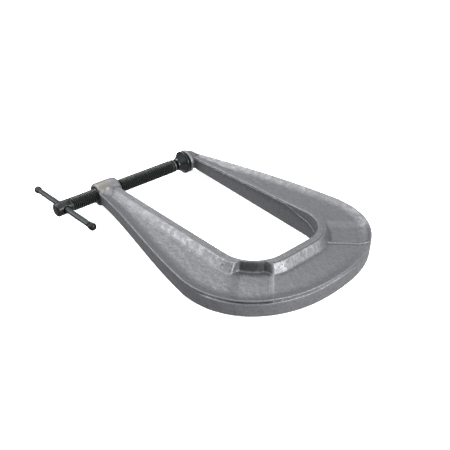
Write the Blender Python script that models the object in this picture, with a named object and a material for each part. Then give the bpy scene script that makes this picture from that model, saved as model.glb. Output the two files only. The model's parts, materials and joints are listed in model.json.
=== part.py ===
"""Deep-throat C clamp, lying flat, built as separate solids in metres with +Z up."""
import math

import bmesh
import bpy
from mathutils import Matrix, Vector

MM = 0.001

# Where the screw axis crosses the object's own frame (origin under the middle of its box).
AXIS_X = 0.0005
AXIS_Y = 0.1082
AXIS_Z = 0.0155

# Frame, in the plane of the C. x runs along the screw, y away from the bow.
ARM_NEAR_X = -45.95 * MM
ARM_FAR_X = 63.55 * MM
THROAT_DEPTH = 230.3 * MM
CORNER_RADIUS = 35.4 * MM
BACK_Y = -282.6 * MM
SHOULDER_Y = -195.0 * MM
NEAR_WIDTH_TOP = 79.4 * MM
NEAR_WIDTH_SHOULDER = 106.8 * MM
FAR_WIDTH_TOP = 67.0 * MM
FAR_WIDTH_SHOULDER = 110.2 * MM
BACK_SQUARENESS_NEAR = 2.17
BACK_SQUARENESS_FAR = 2.33
ARM_END_NEAR_Y = 7.5 * MM
ARM_END_FAR_Y = 4.0 * MM

# Frame section: thick inner flange, web, low outer rim.
FLANGE_HALF_AT_SCREW = 7.2 * MM
FLANGE_HALF_AT_BACK = 15.5 * MM
RIM_HALF_AT_SCREW = 6.5 * MM
RIM_HALF_AT_BACK = 9.3 * MM
WEB_BELOW_RIM = 1.0 * MM
CORNER_WEB_BELOW_RIM = 2.9 * MM
CORNER_PANEL_START = 25.0
CORNER_PANEL_END = 63.0
PANEL_STEP_DEGREES = 3.0
LAND_WIDTH_ARM = 7.6 * MM
LAND_WIDTH_BACK = 9.4 * MM
SLOPE_END_ARM = 13.6 * MM
SLOPE_END_BACK = 13.2 * MM
LAND_SHARE = 0.36
SLOPE_SHARE = 0.62
RIM_TOP_WIDTH = 2.4 * MM
RIM_SLOPE_WIDTH = 1.3 * MM
EDGE_BREAK = 1.0 * MM

# Tapped boss at the screw end and anvil at the other.
BOSS_LEFT_X = -69.8 * MM
BOSS_RIGHT_X = -41.6 * MM
BOSS_RADIUS = 13.4 * MM
BOSS_EDGE = 2.2 * MM
BOSS_BORE_RADIUS = 8.25 * MM
LOBE_CENTRE = (-57.6 * MM, -7.4 * MM, 0.0)
LOBE_RADII = (12.9 * MM, 14.2 * MM, 15.1 * MM)
ANVIL_FACE_X = 57.7 * MM
ANVIL_RADIUS = 13.9 * MM
ANVIL_EDGE = 1.0 * MM

# Spindle.
THREAD_RADIUS = 7.94 * MM
THREAD_PITCH = 25.4 * MM / 11.0
THREAD_ROOT_RADIUS = THREAD_RADIUS - 0.6134 * THREAD_PITCH
THREAD_SIDES = 20
HEAD_END_X = -120.0 * MM
HEAD_RADIUS = 7.9 * MM
THREAD_START_X = -101.6 * MM
THREAD_END_X = 37.6 * MM
SHOULDER_START_X = 39.8 * MM
SHOULDER_END_X = 42.2 * MM
SHOULDER_END_RADIUS = 5.6 * MM
NECK_RADIUS = 2.6 * MM
BALL_X = 48.9 * MM
BALL_RADIUS = 3.9 * MM
HANDLE_X = -109.7 * MM
HANDLE_HOLE_RADIUS = 3.5 * MM

# Sliding handle.
BAR_RADIUS = 3.175 * MM
BAR_HALF_LENGTH = 60.2 * MM
BAR_OFFSET = 0.9 * MM
BAR_SPIGOT_RADIUS = 2.0 * MM
BAR_SPIGOT_LENGTH = 5.0 * MM
KNOB_RADIUS = 4.3 * MM
KNOB_LENGTH = 10.0 * MM
KNOB_HOLE_RADIUS = 2.3 * MM
KNOB_HOLE_DEPTH = 5.4 * MM
KNOB_GAP = 0.3 * MM
HANDLE_TILT = math.radians(-4.4)

# Swivel pad and the ring that keeps the ball in it.
PAD_MOUTH_X = 43.35 * MM
PAD_MOUTH_RADIUS = 7.3 * MM
PAD_FACE_X = 55.2 * MM
PAD_RADIUS = 13.9 * MM
PAD_CONE_RADIUS = 11.9 * MM
PAD_RIM_LENGTH = 2.0 * MM
PAD_SOCKET_RADIUS = 5.1 * MM
PAD_SOCKET_FLOOR_X = 53.1 * MM
PAD_LIP_LENGTH = 0.8 * MM
PAD_LIP_RADIUS = 3.7 * MM
RING_X = 45.0 * MM
RING_LENGTH = 1.0 * MM
RING_INNER_RADIUS = 2.95 * MM
RING_OUTER_RADIUS = 4.3 * MM

ROUND_SIDES = 48
THROAT_MIDDLE_X = 0.5 * (ARM_NEAR_X + ARM_FAR_X)
THROAT_HALF = 0.5 * (ARM_FAR_X - ARM_NEAR_X)
CORNER_X = THROAT_HALF - CORNER_RADIUS
CORNER_Y = -THROAT_DEPTH + CORNER_RADIUS


def clear_scene():
    for item in list(bpy.data.objects):
        bpy.data.objects.remove(item, do_unlink=True)


def make_material(name, colour, roughness, metallic):
    material = bpy.data.materials.new(name)
    material.use_nodes = True
    shader = material.node_tree.nodes["Principled BSDF"]
    shader.inputs["Base Color"].default_value = (*colour, 1.0)
    shader.inputs["Roughness"].default_value = roughness
    shader.inputs["Metallic"].default_value = metallic
    return material


def to_world(x, y, z):
    """Clamp coordinates have the screw axis at y = z = 0."""
    return Vector((AXIS_X + x, AXIS_Y + y, AXIS_Z + z))


def make_object(name, mesh_builder, material, origin=(0.0, 0.0, 0.0)):
    """Link a mesh whose vertices were given in clamp coordinates, with its origin at a pivot."""
    mesh_builder.normal_update()
    pivot = to_world(*origin)
    for vertex in mesh_builder.verts:
        vertex.co = to_world(*vertex.co) - pivot
    bmesh.ops.recalc_face_normals(mesh_builder, faces=mesh_builder.faces[:])
    mesh = bpy.data.meshes.new(name)
    mesh_builder.to_mesh(mesh)
    mesh_builder.free()
    item = bpy.data.objects.new(name, mesh)
    bpy.context.collection.objects.link(item)
    item.location = pivot
    if material:
        mesh.materials.append(material)
    return item


def smooth(item, degrees):
    for face in item.data.polygons:
        face.use_smooth = True
    item.data.set_sharp_from_angle(angle=math.radians(degrees))


def add_boolean(target, tool, operation):
    tool.hide_render = True
    tool.display_type = "WIRE"
    step = target.modifiers.new(tool.name, "BOOLEAN")
    step.operation = operation
    step.solver = "EXACT"
    step.object = tool


def skin_rings(builder, rings, close_start=True, close_end=True):
    """Join rings of equal length with quads and cap the ends."""
    count = len(rings[0])
    for first, second in zip(rings, rings[1:]):
        for index in range(count):
            after = (index + 1) % count
            builder.faces.new((first[index], first[after], second[after], second[index]))
    if close_start:
        builder.faces.new(list(reversed(rings[0])))
    if close_end:
        builder.faces.new(rings[-1])


def turned(profile, sides=ROUND_SIDES, turn_matrix=None):
    """Spin a closed or axis-to-axis profile of (along, radius) points about the x axis."""
    builder = bmesh.new()
    path = [builder.verts.new((along, radius, 0.0)) for along, radius in profile]
    edges = []
    for first, second in zip(path, path[1:] + path[:1]):
        if first.co.y > 0.0 or second.co.y > 0.0:
            edges.append(builder.edges.new((first, second)))
    bmesh.ops.spin(
        builder,
        geom=path + edges,
        cent=(0.0, 0.0, 0.0),
        axis=(1.0, 0.0, 0.0),
        angle=2.0 * math.pi,
        steps=sides,
        use_merge=True,
        use_normal_flip=False,
        use_duplicate=False,
    )
    bmesh.ops.remove_doubles(builder, verts=builder.verts[:], dist=0.000001)
    if turn_matrix:
        bmesh.ops.transform(builder, matrix=turn_matrix, verts=builder.verts[:])
    return builder


def blend(start, end, share):
    return start + (end - start) * share


def smooth_step(share):
    share = max(0.0, min(1.0, share))
    return share * share * (3.0 - 2.0 * share)


def outer_width_near(y):
    """Distance from the middle of the throat to the outside of the screw arm."""
    share = max(0.0, min(1.0, y / SHOULDER_Y))
    curve = 0.45 * share ** 1.2 + 0.55 * smooth_step(share)
    width = blend(NEAR_WIDTH_TOP, NEAR_WIDTH_SHOULDER, curve)
    return width - 4.0 * MM * smooth_step((y + 16.0 * MM) / (24.0 * MM))


def outer_width_far(y):
    """Distance from the middle of the throat to the outside of the anvil arm."""
    share = max(0.0, min(1.0, y / SHOULDER_Y))
    curve = 0.5 * share + 0.5 * math.sin(0.5 * math.pi * share)
    return blend(FAR_WIDTH_TOP, FAR_WIDTH_SHOULDER, curve)


def outside_excess(x, y, side):
    """Negative inside the outline of the back, positive outside it."""
    half_width = FAR_WIDTH_SHOULDER if side > 0 else NEAR_WIDTH_SHOULDER
    power = BACK_SQUARENESS_FAR if side > 0 else BACK_SQUARENESS_NEAR
    across = abs(x) / half_width
    down = max(0.0, SHOULDER_Y - y) / (SHOULDER_Y - BACK_Y)
    return across ** power + down ** power - 1.0


def back_outer_point(start_x, start_y, direction_x, direction_y, side):
    """Where a ray from the throat meets the outline of the back."""
    low = 0.0
    high = 0.2
    for _ in range(40):
        middle = 0.5 * (low + high)
        excess = outside_excess(start_x + direction_x * middle, start_y + direction_y * middle, side)
        if excess < 0.0:
            low = middle
        else:
            high = middle
    return start_x + direction_x * low, start_y + direction_y * low


def recess_share(angle):
    """One inside a corner panel, zero outside it, with a short ramp at each side."""
    rise = (angle - CORNER_PANEL_START) / PANEL_STEP_DEGREES
    fall = (CORNER_PANEL_END - angle) / PANEL_STEP_DEGREES
    return max(0.0, min(1.0, rise, fall))


def frame_stations():
    """Inner point, outer point and corner angle at each section, from screw arm to anvil arm."""
    arm_rows = 15
    stations = []
    for side in (-1, 1):
        half = []
        top = ARM_END_NEAR_Y if side < 0 else ARM_END_FAR_Y
        width = outer_width_near if side < 0 else outer_width_far
        for row in range(arm_rows):
            y = blend(top, CORNER_Y, row / arm_rows)
            half.append(((side * THROAT_HALF, y), (side * width(y), y), 0.0))
        angles = [0.0, 6.0, 12.0, 18.0, CORNER_PANEL_START, CORNER_PANEL_START + PANEL_STEP_DEGREES]
        angles += [34.0, 40.0, 46.0, 53.0, CORNER_PANEL_END - PANEL_STEP_DEGREES, CORNER_PANEL_END]
        angles += [70.0, 77.0, 84.0, 90.0]
        for angle in angles:
            turn = math.radians(angle)
            direction = (side * math.cos(turn), -math.sin(turn))
            centre = (side * CORNER_X, CORNER_Y)
            inner = (centre[0] + direction[0] * CORNER_RADIUS, centre[1] + direction[1] * CORNER_RADIUS)
            outer = back_outer_point(*centre, *direction, side)
            half.append((inner, outer, angle))
        for row in (1, 2):
            x = side * CORNER_X * (1.0 - row / 3.0)
            outer = back_outer_point(x, -THROAT_DEPTH, 0.0, -1.0, side)
            half.append(((x, -THROAT_DEPTH), outer, 90.0))
        if side < 0:
            stations += half
        else:
            middle_outer = back_outer_point(0.0, -THROAT_DEPTH, 0.0, -1.0, 1)
            stations.append(((0.0, -THROAT_DEPTH), middle_outer, 90.0))
            stations += reversed(half)
    return stations


def section_heights(inner_y, outer_y, angle):
    """Half heights of the flange, the outer rim and the web at one section."""
    flange = blend(FLANGE_HALF_AT_SCREW, FLANGE_HALF_AT_BACK, max(0.0, inner_y / -THROAT_DEPTH))
    rim = blend(RIM_HALF_AT_SCREW, RIM_HALF_AT_BACK, max(0.0, outer_y / BACK_Y))
    drop = blend(WEB_BELOW_RIM, CORNER_WEB_BELOW_RIM, recess_share(angle))
    return flange, rim, rim - drop


def frame_section(inner, outer, angle):
    """Closed outline of the frame at one station, in clamp coordinates."""
    width = math.hypot(outer[0] - inner[0], outer[1] - inner[1])
    across = ((outer[0] - inner[0]) / width, (outer[1] - inner[1]) / width)
    flange, rim, web = section_heights(inner[1], outer[1], angle)
    reach = max(0.0, min(1.0, inner[1] / -THROAT_DEPTH))
    land = min(blend(LAND_WIDTH_ARM, LAND_WIDTH_BACK, reach), LAND_SHARE * width)
    slope_end = min(blend(SLOPE_END_ARM, SLOPE_END_BACK, reach), SLOPE_SHARE * width)
    upper = [
        (0.0, flange - EDGE_BREAK),
        (EDGE_BREAK, flange),
        (land, flange),
        (slope_end, web),
        (width - RIM_TOP_WIDTH - RIM_SLOPE_WIDTH, web),
        (width - RIM_TOP_WIDTH, rim),
        (width - EDGE_BREAK, rim),
        (width, rim - EDGE_BREAK),
    ]
    outline = upper + [(distance, -height) for distance, height in reversed(upper)]
    points = []
    for distance, height in outline:
        x = THROAT_MIDDLE_X + inner[0] + across[0] * distance
        y = inner[1] + across[1] * distance
        points.append((x, y, height))
    return points


def build_frame(material):
    builder = bmesh.new()
    rings = []
    for inner, outer, angle in frame_stations():
        rings.append([builder.verts.new(point) for point in frame_section(inner, outer, angle)])
    skin_rings(builder, rings)
    frame = make_object("clamp_frame", builder, material)

    boss_profile = [
        (BOSS_LEFT_X, 0.0),
        (BOSS_LEFT_X, BOSS_RADIUS - BOSS_EDGE),
        (BOSS_LEFT_X + 0.3 * BOSS_EDGE, BOSS_RADIUS - 0.3 * BOSS_EDGE),
        (BOSS_LEFT_X + BOSS_EDGE, BOSS_RADIUS),
        (BOSS_RIGHT_X - 2.0 * BOSS_EDGE, BOSS_RADIUS - 0.5 * MM),
        (BOSS_RIGHT_X - 0.5 * BOSS_EDGE, BOSS_RADIUS - BOSS_EDGE),
        (BOSS_RIGHT_X, BOSS_RADIUS - 1.9 * BOSS_EDGE),
        (BOSS_RIGHT_X, 0.0),
    ]
    boss = make_object("boss_blank", turned(boss_profile), None)
    add_boolean(frame, boss, "UNION")

    lobe_builder = bmesh.new()
    bmesh.ops.create_uvsphere(lobe_builder, u_segments=32, v_segments=16, radius=1.0)
    shape = Matrix.Translation(LOBE_CENTRE) @ Matrix.Diagonal((*LOBE_RADII, 1.0))
    bmesh.ops.transform(lobe_builder, matrix=shape, verts=lobe_builder.verts[:])
    lobe = make_object("boss_root", lobe_builder, None)
    add_boolean(frame, lobe, "UNION")

    anvil_profile = [
        (ANVIL_FACE_X, 0.0),
        (ANVIL_FACE_X, ANVIL_RADIUS - ANVIL_EDGE),
        (ANVIL_FACE_X + ANVIL_EDGE, ANVIL_RADIUS),
        (ANVIL_FACE_X + 3.0 * MM, ANVIL_RADIUS),
        (ANVIL_FACE_X + 5.8 * MM, 13.3 * MM),
        (ANVIL_FACE_X + 9.0 * MM, 12.3 * MM),
        (ANVIL_FACE_X + 12.5 * MM, 10.8 * MM),
        (ANVIL_FACE_X + 15.8 * MM, 8.4 * MM),
        (ANVIL_FACE_X + 18.0 * MM, 5.2 * MM),
        (ANVIL_FACE_X + 19.0 * MM, 0.0),
    ]
    anvil = make_object("anvil_blank", turned(anvil_profile), None)
    add_boolean(frame, anvil, "UNION")

    bore_profile = [
        (BOSS_LEFT_X - 5.0 * MM, 0.0),
        (BOSS_LEFT_X - 5.0 * MM, BOSS_BORE_RADIUS),
        (BOSS_RIGHT_X + 5.0 * MM, BOSS_BORE_RADIUS),
        (BOSS_RIGHT_X + 5.0 * MM, 0.0),
    ]
    bore = make_object("boss_bore", turned(bore_profile), None)
    add_boolean(frame, bore, "DIFFERENCE")
    smooth(frame, 32.0)
    return frame


def circle_ring(builder, along, radius, sides):
    ring = []
    for index in range(sides):
        turn = 2.0 * math.pi * index / sides
        ring.append(builder.verts.new((along, radius * math.cos(turn), radius * math.sin(turn))))
    return ring


def thread_turns():
    return int((THREAD_END_X - THREAD_START_X) / THREAD_PITCH) - 1


def thread_vertices(builder):
    """Root and crest vertices along a right-handed helix, the crest fading in and out."""
    total = THREAD_SIDES * thread_turns()
    roots = []
    crests = []
    for index in range(total + 1 + THREAD_SIDES):
        turn = 2.0 * math.pi * index / THREAD_SIDES
        along = THREAD_START_X + THREAD_PITCH * index / THREAD_SIDES
        root = (along, THREAD_ROOT_RADIUS * math.cos(turn), THREAD_ROOT_RADIUS * math.sin(turn))
        roots.append(builder.verts.new(root))
        if index <= total:
            fade = min(1.0, index / THREAD_SIDES, (total - index) / THREAD_SIDES)
            radius = blend(THREAD_ROOT_RADIUS, THREAD_RADIUS, fade)
            crest_along = along + 0.5 * THREAD_PITCH
            crests.append(builder.verts.new((crest_along, radius * math.cos(turn), radius * math.sin(turn))))
    return roots, crests


def build_spindle(material):
    builder = bmesh.new()
    sides = THREAD_SIDES
    head_rings = [
        circle_ring(builder, HEAD_END_X, HEAD_RADIUS - 2.4 * MM, sides),
        circle_ring(builder, HEAD_END_X + 0.7 * MM, HEAD_RADIUS - 0.9 * MM, sides),
        circle_ring(builder, HEAD_END_X + 2.4 * MM, HEAD_RADIUS, sides),
        circle_ring(builder, THREAD_START_X - 1.6 * MM, HEAD_RADIUS, sides),
        circle_ring(builder, THREAD_START_X - 0.3 * MM, THREAD_ROOT_RADIUS, sides),
    ]
    skin_rings(builder, head_rings, close_end=False)
    roots, crests = thread_vertices(builder)
    last = len(crests) - 1

    start = head_rings[-1]
    for index in range(sides - 1):
        builder.faces.new((start[index], start[index + 1], roots[index + 1], roots[index]))
    builder.faces.new((start[-1], start[0], roots[0], crests[0], roots[sides], roots[sides - 1]))

    for index in range(last):
        builder.faces.new((roots[index], roots[index + 1], crests[index + 1], crests[index]))
        far = index + sides
        builder.faces.new((crests[index], crests[index + 1], roots[far + 1], roots[far]))

    tail_x = THREAD_START_X + THREAD_PITCH * (len(roots) - 1) / sides
    tail = circle_ring(builder, tail_x + 0.3 * MM, THREAD_ROOT_RADIUS, sides)
    builder.faces.new(
        (roots[last], roots[last + 1], tail[1], tail[0], roots[last + sides], crests[last])
    )
    for index in range(1, sides):
        here = last + index
        after = (index + 1) % sides
        builder.faces.new((roots[here], roots[here + 1], tail[after], tail[index]))

    neck_rings = [
        tail,
        circle_ring(builder, tail_x + 0.9 * MM, THREAD_RADIUS - 0.2 * MM, sides),
        circle_ring(builder, SHOULDER_START_X, THREAD_RADIUS - 0.2 * MM, sides),
        circle_ring(builder, SHOULDER_END_X, SHOULDER_END_RADIUS, sides),
        circle_ring(builder, SHOULDER_END_X + 0.01 * MM, NECK_RADIUS, sides),
    ]
    ball_rows = 8
    start_angle = math.asin(NECK_RADIUS / BALL_RADIUS)
    for row in range(ball_rows):
        angle = blend(start_angle, math.pi - 0.18, row / (ball_rows - 1))
        along = BALL_X - BALL_RADIUS * math.cos(angle)
        neck_rings.append(circle_ring(builder, along, BALL_RADIUS * math.sin(angle), sides))
    skin_rings(builder, neck_rings, close_start=False)

    spindle = make_object("spindle_screw", builder, material, origin=(HANDLE_X, 0.0, 0.0))
    hole_profile = [
        (-2.0 * HEAD_RADIUS, 0.0),
        (-2.0 * HEAD_RADIUS, HANDLE_HOLE_RADIUS),
        (2.0 * HEAD_RADIUS, HANDLE_HOLE_RADIUS),
        (2.0 * HEAD_RADIUS, 0.0),
    ]
    hole = make_object("handle_hole", turned(hole_profile, 24, handle_matrix(0.0)), None)
    add_boolean(spindle, hole, "DIFFERENCE")
    smooth(spindle, 25.0)
    return spindle


def handle_matrix(offset):
    """Turn a shape made along x to lie along the handle, offset from the middle of the handle."""
    tilt = Matrix.Rotation(HANDLE_TILT, 4, "X")
    along_y = Matrix.Rotation(0.5 * math.pi, 4, "Z")
    place = Matrix.Translation((HANDLE_X, 0.0, 0.0))
    return place @ tilt @ along_y @ Matrix.Translation((offset, 0.0, 0.0))


def build_handle(bar_material, knob_material):
    shoulder = BAR_HALF_LENGTH - BAR_SPIGOT_LENGTH
    bar_profile = [
        (-BAR_HALF_LENGTH, 0.0),
        (-BAR_HALF_LENGTH, BAR_SPIGOT_RADIUS),
        (-shoulder, BAR_SPIGOT_RADIUS),
        (-shoulder, BAR_RADIUS),
        (shoulder, BAR_RADIUS),
        (shoulder, BAR_SPIGOT_RADIUS),
        (BAR_HALF_LENGTH, BAR_SPIGOT_RADIUS),
        (BAR_HALF_LENGTH, 0.0),
    ]
    origin = (HANDLE_X, 0.0, 0.0)
    bar = make_object("handle_bar", turned(bar_profile, 24, handle_matrix(BAR_OFFSET)), bar_material, origin)
    smooth(bar, 40.0)
    pieces = [bar]
    knob_start = shoulder + KNOB_GAP
    for name, side in (("handle_knob_near", -1), ("handle_knob_far", 1)):
        knob_profile = [
            (knob_start, KNOB_HOLE_RADIUS),
            (knob_start, BAR_RADIUS),
            (knob_start + 0.22 * KNOB_LENGTH, KNOB_RADIUS - 0.25 * MM),
            (knob_start + 0.45 * KNOB_LENGTH, KNOB_RADIUS),
            (knob_start + 0.75 * KNOB_LENGTH, KNOB_RADIUS - 0.15 * MM),
            (knob_start + 0.90 * KNOB_LENGTH, KNOB_RADIUS - 1.0 * MM),
            (knob_start + 0.98 * KNOB_LENGTH, KNOB_RADIUS - 2.3 * MM),
            (knob_start + KNOB_LENGTH, 0.0),
            (knob_start + KNOB_HOLE_DEPTH, 0.0),
            (knob_start + KNOB_HOLE_DEPTH, KNOB_HOLE_RADIUS),
        ]
        face_out = Matrix.Rotation(math.pi if side < 0 else 0.0, 4, "Z")
        matrix = handle_matrix(BAR_OFFSET) @ face_out
        knob = make_object(name, turned(knob_profile, 24, matrix), knob_material, origin)
        smooth(knob, 40.0)
        pieces.append(knob)
    return pieces


def build_pad(pad_material, ring_material):
    pad_profile = [
        (PAD_MOUTH_X, PAD_LIP_RADIUS),
        (PAD_MOUTH_X, PAD_MOUTH_RADIUS - 0.8 * MM),
        (PAD_MOUTH_X + 0.8 * MM, PAD_MOUTH_RADIUS),
        (PAD_MOUTH_X + 2.2 * MM, PAD_MOUTH_RADIUS + 0.5 * MM),
        (PAD_FACE_X - PAD_RIM_LENGTH - 0.3 * MM, PAD_CONE_RADIUS),
        (PAD_FACE_X - PAD_RIM_LENGTH, PAD_RADIUS - 0.2 * MM),
        (PAD_FACE_X - 0.5 * MM, PAD_RADIUS),
        (PAD_FACE_X, PAD_RADIUS - 0.5 * MM),
        (PAD_FACE_X, 0.0),
        (PAD_SOCKET_FLOOR_X, 0.0),
        (PAD_SOCKET_FLOOR_X, PAD_SOCKET_RADIUS - 1.2 * MM),
        (PAD_SOCKET_FLOOR_X - 1.2 * MM, PAD_SOCKET_RADIUS),
        (PAD_MOUTH_X + PAD_LIP_LENGTH, PAD_SOCKET_RADIUS),
        (PAD_MOUTH_X + PAD_LIP_LENGTH, PAD_LIP_RADIUS),
    ]
    pivot = (BALL_X, 0.0, 0.0)
    pad = make_object("swivel_pad", turned(pad_profile, ROUND_SIDES), pad_material, pivot)
    smooth(pad, 30.0)
    ring_profile = [
        (RING_X, RING_INNER_RADIUS),
        (RING_X, RING_OUTER_RADIUS),
        (RING_X + RING_LENGTH, RING_OUTER_RADIUS),
        (RING_X + RING_LENGTH, RING_INNER_RADIUS),
    ]
    ring = make_object("pad_retaining_ring", turned(ring_profile, 32), ring_material, pivot)
    smooth(ring, 30.0)
    return pad, ring


def main():
    clear_scene()
    forged = make_material("forged_steel_blasted", (0.27, 0.275, 0.29), 0.45, 0.85)
    black = make_material("black_oxide_screw", (0.025, 0.027, 0.026), 0.38, 0.7)
    slate = make_material("oiled_steel_bar", (0.085, 0.095, 0.1), 0.42, 0.75)
    knob_steel = make_material("upset_steel_knob", (0.05, 0.055, 0.06), 0.4, 0.75)
    pad_black = make_material("black_oxide_pad", (0.012, 0.013, 0.013), 0.25, 0.7)
    spring = make_material("spring_steel_ring", (0.18, 0.18, 0.19), 0.35, 0.9)
    build_frame(forged)
    build_spindle(black)
    build_handle(slate, knob_steel)
    build_pad(pad_black, spring)


main()
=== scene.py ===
import json
import math

import bmesh
import bpy
from mathutils import Matrix, Vector, kdtree, noise


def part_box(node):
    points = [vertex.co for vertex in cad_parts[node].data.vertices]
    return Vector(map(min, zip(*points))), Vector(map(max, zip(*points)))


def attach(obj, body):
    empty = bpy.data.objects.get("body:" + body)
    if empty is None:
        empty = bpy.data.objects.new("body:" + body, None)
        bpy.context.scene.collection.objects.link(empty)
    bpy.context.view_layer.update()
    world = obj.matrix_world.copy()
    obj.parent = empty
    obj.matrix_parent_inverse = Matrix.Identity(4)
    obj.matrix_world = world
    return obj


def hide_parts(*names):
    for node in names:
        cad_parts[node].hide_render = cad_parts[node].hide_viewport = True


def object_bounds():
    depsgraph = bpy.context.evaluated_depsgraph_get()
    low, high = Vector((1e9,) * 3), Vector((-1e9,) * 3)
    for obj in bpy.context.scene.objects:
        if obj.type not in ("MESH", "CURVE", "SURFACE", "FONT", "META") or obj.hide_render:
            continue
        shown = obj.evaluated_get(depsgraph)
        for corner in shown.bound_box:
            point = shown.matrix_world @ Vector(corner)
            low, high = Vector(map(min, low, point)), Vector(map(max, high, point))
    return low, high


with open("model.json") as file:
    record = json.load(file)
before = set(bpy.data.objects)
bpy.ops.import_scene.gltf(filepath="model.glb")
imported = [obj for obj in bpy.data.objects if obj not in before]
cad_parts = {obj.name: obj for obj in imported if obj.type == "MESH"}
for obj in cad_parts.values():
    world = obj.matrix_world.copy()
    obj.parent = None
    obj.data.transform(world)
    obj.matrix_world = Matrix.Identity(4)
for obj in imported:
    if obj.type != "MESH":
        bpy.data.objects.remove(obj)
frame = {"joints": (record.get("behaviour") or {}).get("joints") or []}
cadLow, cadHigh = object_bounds()
print("packed clamp loaded")

mm = 0.001

# The ring round the screw's neck is a true ring of revolution, so its box gives the screw axis.
ringLow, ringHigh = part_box("pad_retaining_ring")
ringStart = 45.0  # how far the ring lies from the shape's own zero along the screw
origin = Vector((ringLow.x - ringStart * mm, (ringLow.y + ringHigh.y) / 2, (ringLow.z + ringHigh.z) / 2))


def toPlace(point):  # millimetres from the screw axis to the frame's metres
    return origin + Vector(point) * mm


def ease(share):
    share = max(0.0, min(1.0, share))
    return share * share * (3.0 - 2.0 * share)


def between(start, end, share):
    return start + (end - start) * share


def addObject(name, mesh):
    item = bpy.data.objects.new(name, mesh)
    bpy.context.scene.collection.objects.link(item)
    return item


def meshFrom(builder, name):
    bmesh.ops.recalc_face_normals(builder, faces=builder.faces[:])
    mesh = bpy.data.meshes.new(name)
    builder.to_mesh(mesh)
    builder.free()
    return mesh


def settle(item):  # what the modifiers make becomes the object's own mesh
    bpy.context.view_layer.update()
    graph = bpy.context.evaluated_depsgraph_get()
    mesh = bpy.data.meshes.new_from_object(item.evaluated_get(graph), depsgraph=graph)
    item.modifiers.clear()
    item.data = mesh
    return item


def cut(target, tool, operation):
    step = target.modifiers.new(tool.name, "BOOLEAN")
    step.operation = operation
    step.solver = "EXACT"
    step.object = tool
    settle(target)
    bpy.data.objects.remove(tool)


def roundCorner(before, corner, after, reach, steps):
    back = (Vector(before) - Vector(corner))
    ahead = (Vector(after) - Vector(corner))
    start = Vector(corner) + back.normalized() * min(reach, 0.45 * back.length)
    end = Vector(corner) + ahead.normalized() * min(reach, 0.45 * ahead.length)
    points = []
    for step in range(steps + 1):
        share = step / steps
        first = start.lerp(Vector(corner), share)
        second = Vector(corner).lerp(end, share)
        points.append(first.lerp(second, share))
    return points


def roundLoop(corners):
    # each corner is (position, reach of its rounding, steps, points on the straight run after it)
    count = len(corners)
    path = []
    for index, (place, reach, steps, _) in enumerate(corners):
        before = corners[index - 1][0]
        after = corners[(index + 1) % count][0]
        path.append(roundCorner(before, place, after, reach, steps) if steps else [Vector(place)])
    points = []
    for index, piece in enumerate(path):
        points += piece
        extra = corners[index][3]
        target = path[(index + 1) % count][0]
        for step in range(extra):
            points.append(piece[-1].lerp(target, (step + 1) / (extra + 1)))
    return points


def joinRings(builder, rings):  # skins a row of rings and caps both ends
    for first, second in zip(rings, rings[1:]):
        for index in range(len(first)):
            after = (index + 1) % len(first)
            builder.faces.new((first[index], first[after], second[after], second[index]))
    builder.faces.new(list(reversed(rings[0])))
    builder.faces.new(rings[-1])


def turnedMesh(profile, sides, spin=None):
    # spins (along, radius) points about x; ends on the axis or joins up as a loop
    builder = bmesh.new()
    rings = []
    for along, radius in profile:
        if radius < 1e-6:
            rings.append([builder.verts.new((along, 0.0, 0.0))])
            continue
        ring = []
        for side in range(sides):
            angle = 2.0 * math.pi * side / sides
            ring.append(builder.verts.new((along, radius * math.cos(angle), radius * math.sin(angle))))
        rings.append(ring)
    pairs = list(zip(rings, rings[1:]))
    if len(rings[0]) > 1 and len(rings[-1]) > 1:
        pairs.append((rings[-1], rings[0]))
    for first, second in pairs:
        for side in range(sides):
            after = (side + 1) % sides
            if len(first) == 1 and len(second) > 1:
                builder.faces.new((first[0], second[side], second[after]))
            elif len(second) == 1 and len(first) > 1:
                builder.faces.new((first[side], first[after], second[0]))
            elif len(first) > 1:
                builder.faces.new((first[side], first[after], second[after], second[side]))
    if spin:
        bmesh.ops.transform(builder, matrix=spin, verts=builder.verts[:])
    for vertex in builder.verts:
        vertex.co = toPlace(vertex.co)
    return builder


# Shader groups that several finishes share.

def addInputs(tree, inputs):
    for label, kind, value in inputs:
        socket = tree.interface.new_socket(label, in_out="INPUT", socket_type=kind)
        if value is not None:
            socket.default_value = value


def newGroup(name, inputs, outputs):
    tree = bpy.data.node_groups.new(name, "ShaderNodeTree")
    addInputs(tree, inputs)
    for label, kind in outputs:
        tree.interface.new_socket(label, in_out="OUTPUT", socket_type=kind)
    start = tree.nodes.new("NodeGroupInput")
    end = tree.nodes.new("NodeGroupOutput")
    start.location = (-900, 0)
    end.location = (700, 0)
    return tree, start, end


def addNode(tree, kind, place, **settings):
    node = tree.nodes.new(kind)
    node.location = place
    for key, value in settings.items():
        setattr(node, key, value)
    return node


def mathNode(tree, operation, place, first, second=None, clamp=False):
    node = addNode(tree, "ShaderNodeMath", place, operation=operation, use_clamp=clamp)
    for socket, value in zip(node.inputs, (first, second)):
        if value is None:
            continue
        if isinstance(value, (int, float)):
            socket.default_value = value
        else:
            tree.links.new(value, socket)
    return node.outputs[0]


def rangeNode(tree, place, value, low, high, newLow=0.0, newHigh=1.0, kind="SMOOTHSTEP"):
    node = addNode(tree, "ShaderNodeMapRange", place, interpolation_type=kind)
    tree.links.new(value, node.inputs["Value"])
    for label, number in (("From Min", low), ("From Max", high), ("To Min", newLow), ("To Max", newHigh)):
        node.inputs[label].default_value = number
    return node.outputs["Result"]


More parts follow.
